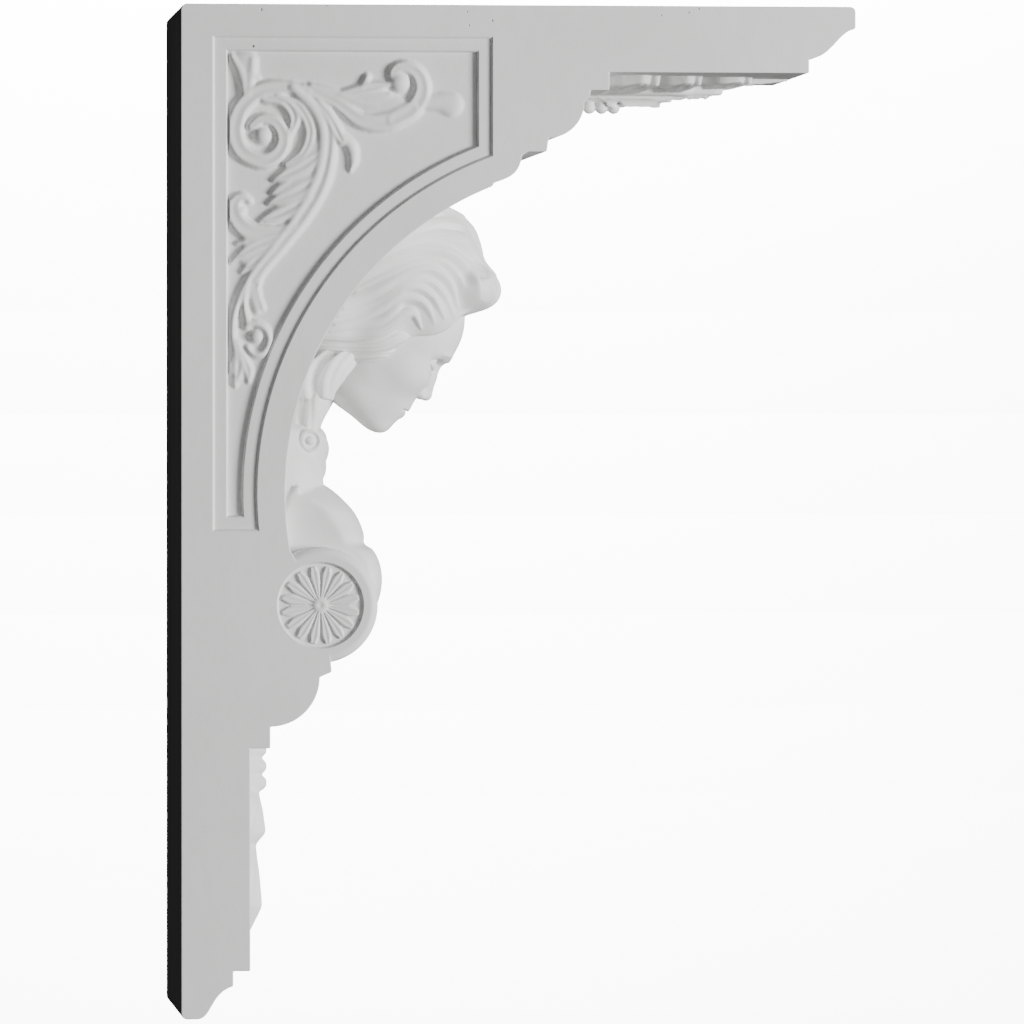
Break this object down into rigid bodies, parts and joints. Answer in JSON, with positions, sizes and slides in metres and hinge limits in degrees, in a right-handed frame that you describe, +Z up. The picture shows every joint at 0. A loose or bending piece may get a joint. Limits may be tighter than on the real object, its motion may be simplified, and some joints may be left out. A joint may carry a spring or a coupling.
{
  "type": "bracket corbel",
  "caption": "L-shaped shelf corbel with an arch, sunk scroll panels, a bowed bust on a rolled console, and leaf ornament.",
  "frame": {"origin": "middle of the flat back face that goes against the wall", "axes": "+X out of the wall along the shelf arm, +Y along the wall, +Z up"},
  "size_m": [0.34, 0.14, 0.508],
  "materials": {
    "primed_casting": "factory-primed off-white moulded polyurethane, matt, with soft mould edges and a few pinholes"
  },
  "bodies": {
    "root": {"corbel": "primed_casting"}
  },
  "joints": []
}
